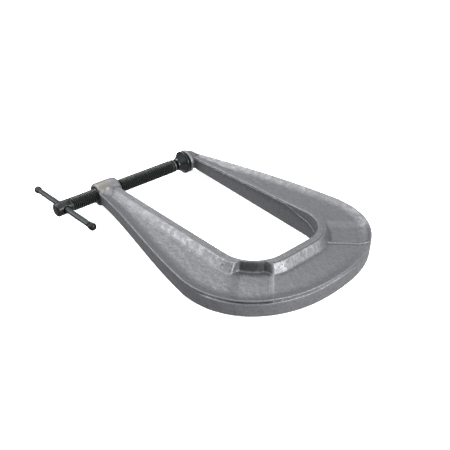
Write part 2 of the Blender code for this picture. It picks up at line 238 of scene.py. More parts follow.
def noiseNode(tree, place, vector, scale, detail, roughness=0.55):
    node = addNode(tree, "ShaderNodeTexNoise", place)
    tree.links.new(vector, node.inputs["Vector"])
    if isinstance(scale, (int, float)):
        node.inputs["Scale"].default_value = scale
    else:
        tree.links.new(scale, node.inputs["Scale"])
    node.inputs["Detail"].default_value = detail
    node.inputs["Roughness"].default_value = roughness
    return node.outputs["Fac"]


def makeGrainGroup():  # blasted or drawn steel: fine grain, soft blotches, sparse pits
    tree, start, end = newGroup(
        "steelGrain",
        [("Place", "NodeSocketVector", None), ("Grain Size", "NodeSocketFloat", 0.5),
         ("Blotch Size", "NodeSocketFloat", 12.0)],
        [("Grain", "NodeSocketFloat"), ("Blotch", "NodeSocketFloat"), ("Pits", "NodeSocketFloat")],
    )
    place = start.outputs["Place"]
    grainScale = mathNode(tree, "DIVIDE", (-650, 100), 1.0, start.outputs["Grain Size"])
    blotchScale = mathNode(tree, "DIVIDE", (-650, -100), 1.0, start.outputs["Blotch Size"])
    tree.links.new(noiseNode(tree, (-400, 200), place, grainScale, 3.0, 0.6), end.inputs["Grain"])
    blotch = noiseNode(tree, (-400, -50), place, blotchScale, 5.0, 0.62)
    tree.links.new(rangeNode(tree, (-150, -50), blotch, 0.3, 0.7), end.inputs["Blotch"])
    pits = addNode(tree, "ShaderNodeTexVoronoi", (-400, -300))
    tree.links.new(place, pits.inputs["Vector"])
    pitScale = mathNode(tree, "MULTIPLY", (-550, -300), grainScale, 0.22)
    tree.links.new(pitScale, pits.inputs["Scale"])
    near = rangeNode(tree, (-150, -300), pits.outputs["Distance"], 0.0, 0.28, 1.0, 0.0)
    gate = rangeNode(tree, (-150, -520), pits.outputs["Color"], 0.55, 0.75)
    tree.links.new(mathNode(tree, "MULTIPLY", (150, -350), near, gate), end.inputs["Pits"])
    return tree


def makeEdgeGroup():  # bright ridges (rubbed wear with a painted highlight) and dark hollows (dirt with painted shade), broken up by the grain
    tree, start, end = newGroup(
        "edgeWearAndHighlight",
        [("Bend", "NodeSocketFloat", 0.0), ("Grain", "NodeSocketFloat", 0.5),
         ("Reach", "NodeSocketFloat", 0.25)],
        [("Wear And Highlight", "NodeSocketFloat"), ("Hollow", "NodeSocketFloat")],
    )
    shake = mathNode(tree, "SUBTRACT", (-650, -100), start.outputs["Grain"], 0.5)
    shake = mathNode(tree, "MULTIPLY", (-500, -100), shake, 0.35)
    bend = mathNode(tree, "DIVIDE", (-500, 100), start.outputs["Bend"], start.outputs["Reach"])
    wearHighlight = mathNode(tree, "ADD", (-300, 150), bend, shake)
    hollow = mathNode(tree, "MULTIPLY_ADD", (-300, -150), bend, -1.0)
    tree.links.new(rangeNode(tree, (0, 150), wearHighlight, 0.25, 1.0), end.inputs["Wear And Highlight"])
    tree.links.new(rangeNode(tree, (0, -150), hollow, 0.25, 1.0), end.inputs["Hollow"])
    return tree


def makeToolGroup():  # rings left by a turning tool: they only change along the turning axis
    tree, start, end = newGroup(
        "toolMarks",
        [("Place", "NodeSocketVector", None), ("Spacing", "NodeSocketFloat", 0.4)],
        [("Marks", "NodeSocketFloat")],
    )
    split = addNode(tree, "ShaderNodeSeparateXYZ", (-650, 0))
    tree.links.new(start.outputs["Place"], split.inputs[0])
    row = mathNode(tree, "DIVIDE", (-450, 0), split.outputs["X"], start.outputs["Spacing"])
    across = mathNode(tree, "MULTIPLY", (-450, -150), split.outputs["Y"], 0.03)
    join = addNode(tree, "ShaderNodeCombineXYZ", (-250, 0))
    tree.links.new(row, join.inputs["X"])
    tree.links.new(across, join.inputs["Y"])
    tree.links.new(noiseNode(tree, (0, 0), join.outputs[0], 1.0, 2.0), end.inputs["Marks"])
    return tree


grainGroup = makeGrainGroup()
edgeGroup = makeEdgeGroup()
toolGroup = makeToolGroup()


def placeGroup(tree, group, place, values):
    node = addNode(tree, "ShaderNodeGroup", place, node_tree=group)
    for label, value in values.items():
        socket = node.inputs[label]
        if isinstance(value, (int, float)):
            socket.default_value = value
        else:
            tree.links.new(value, socket)
    return node


def mixColour(tree, place, share, first, second):
    node = addNode(tree, "ShaderNodeMix", place, data_type="RGBA")
    tree.links.new(share, node.inputs["Factor"])
    for socket, value in ((node.inputs[6], first), (node.inputs[7], second)):
        if isinstance(value, tuple):
            socket.default_value = (*value, 1.0)
        else:
            tree.links.new(value, socket)
    return node.outputs[2]


def makeSteel(name, finish):
    material = bpy.data.materials.new(name)
    material.use_nodes = True
    tree = material.node_tree
    shader = tree.nodes["Principled BSDF"]
    shader.location = (900, 0)
    shader.inputs["Metallic"].default_value = finish["metallic"]
    shader.inputs["Specular IOR Level"].default_value = finish.get("specular", 0.5)
    where = addNode(tree, "ShaderNodeTexCoord", (-1300, 0))
    turn = addNode(tree, "ShaderNodeMapping", (-1100, 0))
    turn.inputs["Location"].default_value = tuple(-number * 1000.0 for number in origin)
    turn.inputs["Scale"].default_value = (1000.0, 1000.0, 1000.0)  # metres to millimetres
    tree.links.new(where.outputs["Object"], turn.inputs["Vector"])
    lay = addNode(tree, "ShaderNodeMapping", (-950, -300))
    lay.inputs["Rotation"].default_value = finish.get("toolAxis", (0.0, 0.0, 0.0))
    tree.links.new(turn.outputs["Vector"], lay.inputs["Vector"])
    grain = placeGroup(tree, grainGroup, (-700, 100), {
        "Place": turn.outputs["Vector"],
        "Grain Size": finish["grainSize"], "Blotch Size": finish["blotchSize"],
    })
    bend = addNode(tree, "ShaderNodeAttribute", (-950, 350), attribute_name="bend")
    edge = placeGroup(tree, edgeGroup, (-450, 300), {
        "Bend": bend.outputs["Fac"], "Grain": grain.outputs["Grain"], "Reach": finish["edgeReach"],
    })
    marks = placeGroup(tree, toolGroup, (-700, -300), {
        "Place": lay.outputs["Vector"], "Spacing": finish.get("markSpacing", 0.5),
    })
    blotch = grain.outputs["Blotch"]
    colour = mixColour(tree, (-200, 100), blotch, finish["dark"], finish["light"])
    speck = rangeNode(tree, (-200, -100), grain.outputs["Grain"], 0.35, 0.75, 0.0, finish["speckle"])
    colour = mixColour(tree, (0, 100), speck, colour, finish["wearHighlightTone"])
    # ridges take the bright tone, rubbed wear with a painted highlight; hollows take the dark tone, dirt
    # with painted shade; pits take the dark tone too
    layers = ((grain.outputs["Pits"], "pitShade", "dirtShadeTone"), (edge.outputs["Wear And Highlight"], "wearHighlightShare", "wearHighlightTone"),
              (edge.outputs["Hollow"], "dirtShadeShare", "dirtShadeTone"))
    for number, (mask, share, tone) in enumerate(layers):
        amount = mathNode(tree, "MULTIPLY", (200 * number, 300), mask, finish[share])
        colour = mixColour(tree, (200 + 200 * number, 100), amount, colour, finish[tone])
    # each patch mixes a tone in round a point: a stain, or painted shade where the material's list says so
    for number, (centre, radius, tone, amount) in enumerate(finish.get("patches", [])):
        level = 500 + 200 * number
        gap = addNode(tree, "ShaderNodeVectorMath", (400, level), operation="DISTANCE")
        tree.links.new(turn.outputs["Vector"], gap.inputs[0])
        gap.inputs[1].default_value = centre
        shake = mathNode(tree, "MULTIPLY_ADD", (500, level), blotch, 0.5 * radius)
        tree.links.new(gap.outputs["Value"], shake.node.inputs[2])
        share = rangeNode(tree, (600, level), shake, 0.7 * radius, 1.5 * radius, amount, 0.0)
        colour = mixColour(tree, (750, level), share, colour, tone)
    tree.links.new(colour, shader.inputs["Base Color"])
    low, high = finish["roughness"]
    gloss = rangeNode(tree, (500, -150), blotch, 0.0, 1.0, high, low)
    tree.links.new(gloss, shader.inputs["Roughness"])
    height = mathNode(tree, "MULTIPLY", (200, -350), grain.outputs["Grain"], finish["grainDepth"])
    reliefs = ((grain.outputs["Pits"], -finish["pitDepth"]),
               (marks.outputs["Marks"], finish.get("markDepth", 0.0)),
               (blotch, finish.get("blotchDepth", 0.0)))
    for number, (mask, depth) in enumerate(reliefs):
        relief = mathNode(tree, "MULTIPLY", (200, -500 - 150 * number), mask, depth)
        height = mathNode(tree, "ADD", (400 + 100 * number, -400 - 100 * number), height, relief)
    bump = addNode(tree, "ShaderNodeBump", (700, -400))
    bump.inputs["Strength"].default_value = 1.0
    bump.inputs["Distance"].default_value = mm
    tree.links.new(height, bump.inputs["Height"])
    tree.links.new(bump.outputs["Normal"], shader.inputs["Normal"])
    return material


def markBends(mesh, rounds=1):
    # a point attribute: above zero on ridges, below zero in hollows
    builder = bmesh.new()
    builder.from_mesh(mesh)
    builder.verts.ensure_lookup_table()
    builder.normal_update()
    bends = []
    for vertex in builder.verts:
        total = 0.0
        for link in vertex.link_edges:
            away = vertex.co - link.other_vert(vertex).co
            if away.length > 1e-9:
                total += vertex.normal.dot(away.normalized())
        bends.append(total / max(1, len(vertex.link_edges)))
    for _ in range(rounds):
        softer = []
        for vertex in builder.verts:
            near = [bends[link.other_vert(vertex).index] for link in vertex.link_edges]
            softer.append(0.5 * bends[vertex.index] + 0.5 * sum(near) / max(1, len(near)))
        bends = softer
    builder.free()
    layer = mesh.attributes.new("bend", "FLOAT", "POINT")
    layer.data.foreach_set("value", bends)


# Geometry Nodes: forged skin and screw thread.

def newTree(name, inputs):
    tree = bpy.data.node_groups.new(name, "GeometryNodeTree")
    addInputs(tree, inputs)
    tree.interface.new_socket("Geometry", in_out="OUTPUT", socket_type="NodeSocketGeometry")
    start = addNode(tree, "NodeGroupInput", (-1200, 0))
    end = addNode(tree, "NodeGroupOutput", (1200, 0))
    return tree, start, end


def finishTree(tree, start, end, geometry):
    real = addNode(tree, "GeometryNodeRealizeInstances", (800, 0))
    paint = addNode(tree, "GeometryNodeSetMaterial", (1000, 0))
    tree.links.new(geometry, real.inputs[0])
    tree.links.new(real.outputs[0], paint.inputs["Geometry"])
    tree.links.new(start.outputs["Material"], paint.inputs["Material"])
    tree.links.new(paint.outputs[0], end.inputs["Geometry"])


def runTree(item, tree, values):
    step = item.modifiers.new(tree.name, "NODES")
    step.node_group = tree
    for label, value in values.items():
        step[tree.interface.items_tree[label].identifier] = value
    return settle(item)


def makeSkinTree():  # pushes the surface in by soft unevenness, never out
    tree, start, end = newTree("forgedSkin", [
        ("Geometry", "NodeSocketGeometry", None), ("Depth", "NodeSocketFloat", 0.0002),
        ("Lump Size", "NodeSocketFloat", 0.012), ("Fine Share", "NodeSocketFloat", 0.3),
        ("Material", "NodeSocketMaterial", None),
    ])
    where = addNode(tree, "GeometryNodeInputPosition", (-1000, -200))
    normal = addNode(tree, "GeometryNodeInputNormal", (-200, -350))
    lumps = mathNode(tree, "DIVIDE", (-900, -350), 1.0, start.outputs["Lump Size"])
    fine = mathNode(tree, "MULTIPLY", (-750, -500), lumps, 6.0)
    broad = noiseNode(tree, (-600, -200), where.outputs[0], lumps, 2.0)
    small = noiseNode(tree, (-600, -450), where.outputs[0], fine, 3.0)
    smallShare = mathNode(tree, "MULTIPLY", (-400, -450), small, start.outputs["Fine Share"])
    total = mathNode(tree, "ADD", (-300, -200), broad, smallShare)
    push = mathNode(tree, "MULTIPLY", (-100, -200), total, start.outputs["Depth"])
    back = mathNode(tree, "MULTIPLY", (50, -200), push, -1.0)
    offset = addNode(tree, "ShaderNodeVectorMath", (200, -250), operation="SCALE")
    tree.links.new(normal.outputs[0], offset.inputs[0])
    tree.links.new(back, offset.inputs["Scale"])
    move = addNode(tree, "GeometryNodeSetPosition", (450, 0))
    tree.links.new(start.outputs["Geometry"], move.inputs["Geometry"])
    tree.links.new(offset.outputs[0], move.inputs["Offset"])
    finishTree(tree, start, end, move.outputs[0])
    return tree


def makeThreadTree():  # one sheet wound into a helix, its ends pressed flat on a round collar
    tree, start, end = newTree("screwThread", [
        ("Start", "NodeSocketVector", (0.0, 0.0, 0.0)), ("Pitch", "NodeSocketFloat", 0.0023),
        ("Turns", "NodeSocketInt", 10), ("Steps Per Turn", "NodeSocketInt", 48),
        ("Profile Steps", "NodeSocketInt", 10), ("Crest Radius", "NodeSocketFloat", 0.008),
        ("Root Radius", "NodeSocketFloat", 0.0065), ("Run Out", "NodeSocketFloat", 1.2),
        ("Material", "NodeSocketMaterial", None),
    ])
    put = start.outputs
    rows = mathNode(tree, "MULTIPLY_ADD", (-950, 300), put["Turns"], put["Steps Per Turn"])
    rows.node.inputs[2].default_value = 1.0
    columns = mathNode(tree, "ADD", (-950, 150), put["Profile Steps"], 1.0)
    sheet = addNode(tree, "GeometryNodeMeshGrid", (-750, 300))
    sheet.inputs["Size X"].default_value = 1.0
    sheet.inputs["Size Y"].default_value = 1.0
    tree.links.new(rows, sheet.inputs["Vertices X"])
    tree.links.new(columns, sheet.inputs["Vertices Y"])
    where = addNode(tree, "GeometryNodeInputPosition", (-950, -100))
    split = addNode(tree, "ShaderNodeSeparateXYZ", (-800, -100))
    tree.links.new(where.outputs[0], split.inputs[0])
    wound = mathNode(tree, "ADD", (-650, -50), split.outputs["X"], 0.5)
    turned = mathNode(tree, "MULTIPLY", (-500, -50), wound, put["Turns"])
    across = mathNode(tree, "ADD", (-650, -200), split.outputs["Y"], 0.5)
    raw = mathNode(tree, "ADD", (-350, -50), turned, across)
    raw = mathNode(tree, "SUBTRACT", (-200, -50), raw, 1.0)
    lastTurn = mathNode(tree, "SUBTRACT", (-350, 100), put["Turns"], 1.0)
    along = mathNode(tree, "MAXIMUM", (-50, -50), raw, 0.0)
    along = mathNode(tree, "MINIMUM", (100, -50), along, lastTurn)
    # trapezoid tooth, flat at root and crest
    fromMiddle = mathNode(tree, "SUBTRACT", (-500, -350), across, 0.5)
    fromMiddle = mathNode(tree, "ABSOLUTE", (-350, -350), fromMiddle)
    tooth = rangeNode(tree, (-200, -350), fromMiddle, 0.40, 0.06, kind="LINEAR")
    # the tooth dies away near both ends
    leftOver = mathNode(tree, "SUBTRACT", (250, -200), lastTurn, along)
    nearest = mathNode(tree, "MINIMUM", (400, -200), leftOver, along)
    fade = mathNode(tree, "DIVIDE", (550, -200), nearest, put["Run Out"], clamp=True)
    tooth = mathNode(tree, "MULTIPLY", (100, -350), tooth, fade)
    depth = mathNode(tree, "SUBTRACT", (-200, -550), put["Crest Radius"], put["Root Radius"])
    radius = mathNode(tree, "MULTIPLY_ADD", (250, -400), tooth, depth)
    tree.links.new(put["Root Radius"], radius.node.inputs[2])
    angle = mathNode(tree, "MULTIPLY", (-200, -700), turned, 2.0 * math.pi)
    cosine = mathNode(tree, "COSINE", (0, -650), angle)
    sine = mathNode(tree, "SINE", (0, -800), angle)
    newX = mathNode(tree, "MULTIPLY", (250, 100), along, put["Pitch"])
    newY = mathNode(tree, "MULTIPLY", (400, -500), radius, cosine)
    newZ = mathNode(tree, "MULTIPLY", (400, -650), radius, sine)
    join = addNode(tree, "ShaderNodeCombineXYZ", (550, -400))
    for socket, value in zip(join.inputs, (newX, newY, newZ)):
        tree.links.new(value, socket)
    shift = addNode(tree, "ShaderNodeVectorMath", (700, -400), operation="ADD")
    tree.links.new(join.outputs[0], shift.inputs[0])
    tree.links.new(put["Start"], shift.inputs[1])
    move = addNode(tree, "GeometryNodeSetPosition", (600, 200))
    tree.links.new(sheet.outputs["Mesh"], move.inputs["Geometry"])
    tree.links.new(shift.outputs[0], move.inputs["Position"])
    weld = addNode(tree, "GeometryNodeMergeByDistance", (700, 50))
    weld.inputs["Distance"].default_value = 0.000002
    tree.links.new(move.outputs[0], weld.inputs["Geometry"])
    finishTree(tree, start, end, weld.outputs[0])
    return tree


skinTree = makeSkinTree()
threadTree = makeThreadTree()
print("shader groups and geometry trees ready")


# Camera, floor and light.

cameraView = {
    "place": (-0.34377, -0.42235, 0.35259),
    "turn": (56.970, -0.137, -41.391),  # degrees
    "lens": 47.48, "sensor": 36.0, "nearest": 0.01,
}


def makeCamera():
    data = bpy.data.cameras.new("camera")
    data.lens = cameraView["lens"]
    data.sensor_width = cameraView["sensor"]
    data.clip_start = cameraView["nearest"]
    camera = bpy.data.objects.new("camera", data)
    camera.location = cameraView["place"]
    camera.rotation_euler = [math.radians(angle) for angle in cameraView["turn"]]
    bpy.context.scene.collection.objects.link(camera)
    bpy.context.scene.camera = camera


studio = {
    "floorHalf": 14.0,
    "floorColour": (0.95, 0.95, 0.95),
    "skyTop": (1.4, 1.4, 1.4), "skySide": (0.27, 0.27, 0.275), "skyBelow": (0.64, 0.64, 0.65),
    "skyStrength": 1.2, "skyLean": (0.1, -0.55, 0.0),
    "skyStops": (0.40, 0.52, 0.66, 0.88),  # below, a dim band just above the horizon, top
    "paperGlow": 0.75, "paperRoughness": 0.9,
    "lamps": {
        "softboxBack": {"place": (-1.0, 1.05, 0.62), "size": 1.0, "power": 26.0},
        "softboxLeft": {"place": (-1.15, 0.2, 1.1), "size": 0.8, "power": 8.0},
        "softboxTop": {"place": (0.35, 1.9, 2.4), "size": 1.0, "power": 62.0},
        "softboxFront": {"place": (0.25, -1.5, 0.55), "size": 1.0, "power": 44.0},
    },
}


def makeStudio():
    half = studio["floorHalf"]
    builder = bmesh.new()
    corners = [(-half, -half), (half, -half), (half, half), (-half, half)]
    builder.faces.new([builder.verts.new((x, y, cadLow.z)) for x, y in corners])
    floor = addObject("studioFloor", meshFrom(builder, "studioFloor"))
    paper = bpy.data.materials.new("floorPaper")
    paper.use_nodes = True
    shader = paper.node_tree.nodes["Principled BSDF"]
    shader.inputs["Base Color"].default_value = (*studio["floorColour"], 1.0)
    shader.inputs["Roughness"].default_value = studio["paperRoughness"]
    shader.inputs["Specular IOR Level"].default_value = 0.0
    shader.inputs["Emission Color"].default_value = (*studio["floorColour"], 1.0)
    shader.inputs["Emission Strength"].default_value = studio["paperGlow"]
    floor.data.materials.append(paper)
    floor.visible_diffuse = False  # the clamp is lit by the lamps and sky, not by paper glare
    floor.visible_glossy = False
    world = bpy.data.worlds.new("studioWorld")
    world.use_nodes = True
    tree = world.node_tree
    where = addNode(tree, "ShaderNodeTexCoord", (-800, 0))
    split = addNode(tree, "ShaderNodeSeparateXYZ", (-600, 0))
    tree.links.new(where.outputs["Generated"], split.inputs[0])
    ramp = addNode(tree, "ShaderNodeValToRGB", (-400, 0))
    lift = rangeNode(tree, (-500, 150), split.outputs["Z"], -1.0, 1.0, kind="LINEAR")
    tree.links.new(lift, ramp.inputs["Fac"])
    stops = ramp.color_ramp.elements
    below, bandLow, bandHigh, top = studio["skyStops"]
    stops[0].position, stops[0].color = below, (*studio["skyBelow"], 1.0)
    stops[1].position, stops[1].color = top, (*studio["skyTop"], 1.0)
    for position in (bandLow, bandHigh):
        stops.new(position).color = (*studio["skySide"], 1.0)
    lean = addNode(tree, "ShaderNodeVectorMath", (-400, -300), operation="DOT_PRODUCT")
    tree.links.new(where.outputs["Generated"], lean.inputs[0])
    lean.inputs[1].default_value = studio["skyLean"]  # the light side of the room
    lift = mathNode(tree, "ADD", (-200, -300), lean.outputs["Value"], 1.0)
    lift = mathNode(tree, "MULTIPLY", (-50, -300), lift, studio["skyStrength"])
    background = tree.nodes["Background"]
    tree.links.new(ramp.outputs["Color"], background.inputs["Color"])
    tree.links.new(lift, background.inputs["Strength"])
    bpy.context.scene.world = world
    for name, lamp in studio["lamps"].items():
        data = bpy.data.lights.new(name, "AREA")
        data.shape = "DISK"
        data.size = lamp["size"]
        data.energy = lamp["power"]
        item = bpy.data.objects.new(name, data)
        item.location = lamp["place"]
        item.rotation_euler = (-Vector(lamp["place"])).to_track_quat("-Z", "Y").to_euler()
        bpy.context.scene.collection.objects.link(item)
    bpy.context.scene.view_settings.view_transform = "Standard"


makeCamera()
makeStudio()
print("camera, floor and lamps placed")


# The forged frame: a changing section swept round the throat.

frameSizes = {
    "armNearX": -45.95, "armFarX": 63.55, "throatDepth": 230.3, "cornerRadius": 35.4,
    "backY": -282.6, "shoulderY": -195.0,
    "nearWidth": (79.4, 106.8), "farWidth": (67.0, 110.2),  # from the throat's middle to the outer edge
    "squareness": (2.17, 2.33),
    "armEnds": (7.5, 4.0),
    "flangeHalf": (7.2, 15.5), "rimHalf": (6.5, 9.3),  # at the screw and at the back
    "webDrop": 3.0,
    "panelDrop": 1.6, "panelArmSide": 19.5, "panelBowSide": 15.0,  # across the corner's diagonal
    "panelRamp": 4.6, "panelRidge": 0.95,
    "wallFrom": 22.0, "wallTo": 68.0, "wallRamp": 2.5,  # degrees round the corner
    "farWall": 0.3,  # share of the wall on the far side
    "land": (7.6, 9.2), "slopeFoot": (13.8, 14.6), "panelLand": (3.9, 8.0), "panelWall": 1.3,
    "rimTop": 1.3, "rimSlope": 8.6,
    "draft": 0.3,
    "creaseDrop": 3.0, "creaseHalf": 1.3, "creaseDepth": 2.8,
    "landGrooveAt": 0.8, "landGrooveHalf": 0.75, "landGrooveDepth": 0.55,
    "trimRidge": 0.15, "trimWave": 1.1,
    "rowLength": 1.8, "cornerStep": 0.75, "slopeRows": (30, 10),  # above and below the middle plane
}


def frameMiddle():
    return (frameSizes["armNearX"] + frameSizes["armFarX"]) / 2


def throatHalf():
    return (frameSizes["armFarX"] - frameSizes["armNearX"]) / 2


def armWidth(y, side):
    share = max(0.0, min(1.0, y / frameSizes["shoulderY"]))
    if side > 0:
        low, high = frameSizes["farWidth"]
        return between(low, high, 0.5 * share + 0.5 * math.sin(0.5 * math.pi * share))
    low, high = frameSizes["nearWidth"]
    curve = 0.45 * share ** 1.2 + 0.55 * ease(share)
    return between(low, high, curve) - 4.0 * ease((y + 16.0) / 24.0)


def backOutline(x, y, stepX, stepY, side):  # walks out along a ray until it meets the outline
    half = frameSizes["farWidth"][1] if side > 0 else frameSizes["nearWidth"][1]
    power = frameSizes["squareness"][1 if side > 0 else 0]
    shoulder = frameSizes["shoulderY"]
    depth = shoulder - frameSizes["backY"]
    low, high = 0.0, 200.0
    for _ in range(40):
        middle = (low + high) / 2
        across = abs(x + stepX * middle) / half
        down = max(0.0, shoulder - y - stepY * middle) / depth
        if across ** power + down ** power < 1.0:
            low = middle
        else:
            high = middle
    return x + stepX * low, y + stepY * low


def frameStations():
    # inner point, outer point, corner angle, side and walk (mm along the throat) of each section
    half = throatHalf()
    radius = frameSizes["cornerRadius"]
    cornerX = half - radius
    cornerY = radius - frameSizes["throatDepth"]
    bowY = -frameSizes["throatDepth"]
    stations = []
    for side in (-1, 1):
        run = []
        top = frameSizes["armEnds"][0 if side < 0 else 1]
        rows = int((top - cornerY) / frameSizes["rowLength"])
        for row in range(rows):
            y = between(top, cornerY, row / rows)
            run.append(((side * half, y), (side * armWidth(y, side), y), 0.0, side))
        turns = int(90.0 / frameSizes["cornerStep"])
        for turn in range(turns):
            angle = 90.0 * turn / turns
            stepX = side * math.cos(math.radians(angle))
            stepY = -math.sin(math.radians(angle))
            inner = (side * cornerX + stepX * radius, cornerY + stepY * radius)
            outer = backOutline(side * cornerX, cornerY, stepX, stepY, side)
            run.append((inner, outer, angle, side))
        rows = int(cornerX / frameSizes["rowLength"])
        for row in range(rows):
            x = side * cornerX * (1.0 - row / rows)
            run.append(((x, bowY), backOutline(x, bowY, 0.0, -1.0, side), 90.0, side))
        if side < 0:
            stations += run
        else:
            stations.append(((0.0, bowY), backOutline(0.0, bowY, 0.0, -1.0, 1), 90.0, 1))
            stations += reversed(run)
    return stations


def wallShare(angle, ramp, early=0.0):
    rise = (angle - frameSizes["wallFrom"] + early) / ramp
    fall = (frameSizes["wallTo"] + early - angle) / ramp
    return ease(min(rise, fall))


def panelShare(x, y, side):  # a sunk band of even width lies along each corner's diagonal
    cornerX = throatHalf() - frameSizes["cornerRadius"]
    cornerY = frameSizes["cornerRadius"] - frameSizes["throatDepth"]
    outX = side * x - cornerX
    outY = cornerY - y
    if outX < 0.0 or outY < 0.0:
        return 0.0
    towardBow = (outY - outX) / math.sqrt(2.0)
    along = (outY + outX) / math.sqrt(2.0)
    armEdge = frameSizes["panelArmSide"] + (0.004 * (along - 66.0) ** 2 if side > 0 else 0.0)
    rise = (towardBow + armEdge + 4.0) / (2.8 * frameSizes["panelRamp"])
    if side < 0:
        fall = (frameSizes["panelBowSide"] + frameSizes["panelRamp"] - towardBow) / frameSizes["panelRamp"]
        return ease(min(rise, fall))
    rise = (towardBow + armEdge + 5.0) / (3.0 * frameSizes["panelRamp"])
    fromStep = towardBow - frameSizes["panelBowSide"] + 1.0
    ridge = frameSizes["panelRidge"] * ease(1.0 - abs(fromStep - 3.2) / 3.4) * ease((96.0 - along) / 10.0)
    return ease(min(rise, 1.0 - fromStep / 3.0)) - ridge


def creaseShare(station):  # a folded lap in the outer wall, from the near corner to the bow
    _, outer, angle, side = station
    if side < 0 and angle < 90.0:
        return between(0.12, 1.0, ease((angle - 8.0) / 22.0)) if angle > 0.0 else 0.0
    return 1.0 - ease((outer[0] + 50.0) / 110.0)


def landGrooveShare(station):
    angle, side = station[2:]
    if angle < 50.0:
        return 0.0
    if side < 0:
        return ease((angle - 60.0) / 12.0)
    return ease((angle - 50.0) / 20.0)


def partingHeight(station, flange):  # the trim line climbs the anvil arm's inner wall
    inner, _, angle, side = station
    wave = frameSizes["trimWave"] * noise.noise(Vector((inner[0] * 0.16, inner[1] * 0.16, 3.0)))
    if side < 0 or angle > 20.0:
        return wave
    climb = ease((inner[1] + 196.0) / 34.0) if angle == 0.0 else 0.0
    drop = 0.35 * (1.0 - angle / 20.0)
    return wave + (flange - 2.2) * (drop + (1.0 - drop) * climb if climb else drop)


def frameSection(station):
    inner, outer, angle, side = station
    width = math.hypot(outer[0] - inner[0], outer[1] - inner[1])
    reach = max(0.0, min(1.0, inner[1] / -frameSizes["throatDepth"]))
    flange = between(*frameSizes["flangeHalf"], reach)
    rim = between(*frameSizes["rimHalf"], max(0.0, outer[1] / frameSizes["backY"]))
    strength = 1.0 if side < 0 else frameSizes["farWall"]
    wall = wallShare(angle, frameSizes["wallRamp"]) * strength
    narrowing = wallShare(angle, 4.0 * frameSizes["wallRamp"], 2.5) * strength
    web = rim - frameSizes["webDrop"] * ease(width / 26.0)
    land = min(between(*frameSizes["land"], reach), 0.36 * width)
    foot = min(between(*frameSizes["slopeFoot"], reach), 0.62 * width)
    land = between(land, frameSizes["panelLand"][side > 0], narrowing)
    foot = between(foot, land + frameSizes["panelWall"], wall)
    rimTop = min(frameSizes["rimTop"], 0.1 * width)
    rimSlope = min(frameSizes["rimSlope"], 0.8 * (width - foot - rimTop))
    crease = creaseShare(station) * frameSizes["creaseDepth"]
    creaseAt = rim - frameSizes["creaseDrop"]
    creaseHalf = frameSizes["creaseHalf"]
    groove = landGrooveShare(station) * frameSizes["landGrooveDepth"]
    grooveAt = land * frameSizes["landGrooveAt"]
    grooveHalf = min(frameSizes["landGrooveHalf"], 0.15 * land)
    draft = frameSizes["draft"]
    parting = partingHeight(station, flange)

    def half(sign):
        return [
            ((draft, sign * flange), 0.9, 5, 1),
            ((grooveAt - grooveHalf, sign * flange), 0.4, 2, 0),
            ((grooveAt, sign * (flange - groove)), 0.4, 2, 0),
            ((grooveAt + grooveHalf, sign * flange), 0.4, 2, 1),
            ((land, sign * flange), 1.3, 5, 3),
            ((foot, sign * web), 1.8, 6, frameSizes["slopeRows"][sign < 0]),
            ((width - rimTop - rimSlope, sign * web), 4.0, 6, 2),
            ((width - rimTop, sign * rim), 0.5, 3, 0),
            ((width - 0.25, sign * rim), 1.1, 6, 0),
            ((width - 0.15, sign * (creaseAt + creaseHalf)), 0.3, 2, 0),
            ((width - 0.1 - (crease if sign > 0 else 0.0), sign * creaseAt), 0.3, 2, 0),
            ((width - 0.1, sign * (creaseAt - creaseHalf)), 0.3, 2, 4),
        ]

    lower = half(-1.0)
    mirrored = []
    for index in range(len(lower) - 1, -1, -1):  # straight-run points belong to the corner they follow
        place, rounding, steps, _ = lower[index]
        extra = lower[index - 1][3] if index else 3
        mirrored.append((place, rounding, steps, extra))
    corners = half(1.0)
    corners.append(((width, 0.0), 0.6, 2, 4))
    corners += mirrored
    corners.append(((0.3, parting - 0.6), 0.2, 1, 0))
    corners.append(((-frameSizes["trimRidge"], parting), 0.2, 2, 0))
    corners.append(((0.3, parting + 0.6), 0.2, 1, 3))
    stepX = (outer[0] - inner[0]) / width
    stepY = (outer[1] - inner[1]) / width
    points = []
    for spot in roundLoop([((*corner[0], 0.0), *corner[1:]) for corner in corners]):
        x = inner[0] + stepX * spot.x
        y = inner[1] + stepY * spot.x
        height = spot.y
        inWeb = ease((spot.x - land - 0.3) / (foot - land)) * ease((width - rimTop - spot.x) / 3.0)
        if angle > 0.0 and inWeb > 0.0 and abs(height) > 0.5 * web:
            height -= math.copysign(frameSizes["panelDrop"] * panelShare(x, y, side) * inWeb, height)
        points.append((frameMiddle() + x, y, height))
    return points


def arc(centre, radius, start, end, steps):  # points of a turned profile, angles in degrees
    points = []
    for step in range(steps + 1):
        angle = math.radians(between(start, end, step / steps))
        points.append((centre[0] + radius * math.cos(angle), centre[1] + radius * math.sin(angle)))
    return points


def straight(start, end, steps):
    return [(between(start[0], end[0], step / steps), between(start[1], end[1], step / steps))
            for step in range(1, steps)]


bossSizes = {
    "left": -69.8, "right": -41.6, "radius": 13.4, "edge": 2.6, "sides": 96,
    "lobeAt": (-57.6, -7.4, -2.4), "lobeHalf": (12.8, 14.1, 12.7),
    "bore": 8.2, "mouth": 9.6, "dimpleAt": (-55.0, -16.0, 10.2), "dimple": 2.5,
}

anvilSizes = {
    "face": 57.7, "radius": 13.9, "sides": 96,
    "back": [(3.4, 13.9), (4.2, 13.6), (5.2, 12.7), (6.6, 11.9), (8.4, 11.5), (10.6, 11.1),
             (12.8, 10.2), (14.8, 8.8), (16.6, 6.8), (18.0, 4.0), (18.7, 0.0)],
}

jointBlend = {"reach": 3.2, "rounds": 14, "strength": 0.5}
forgedSkin = {"Depth": 0.00022, "Lump Size": 0.011, "Fine Share": 0.35}


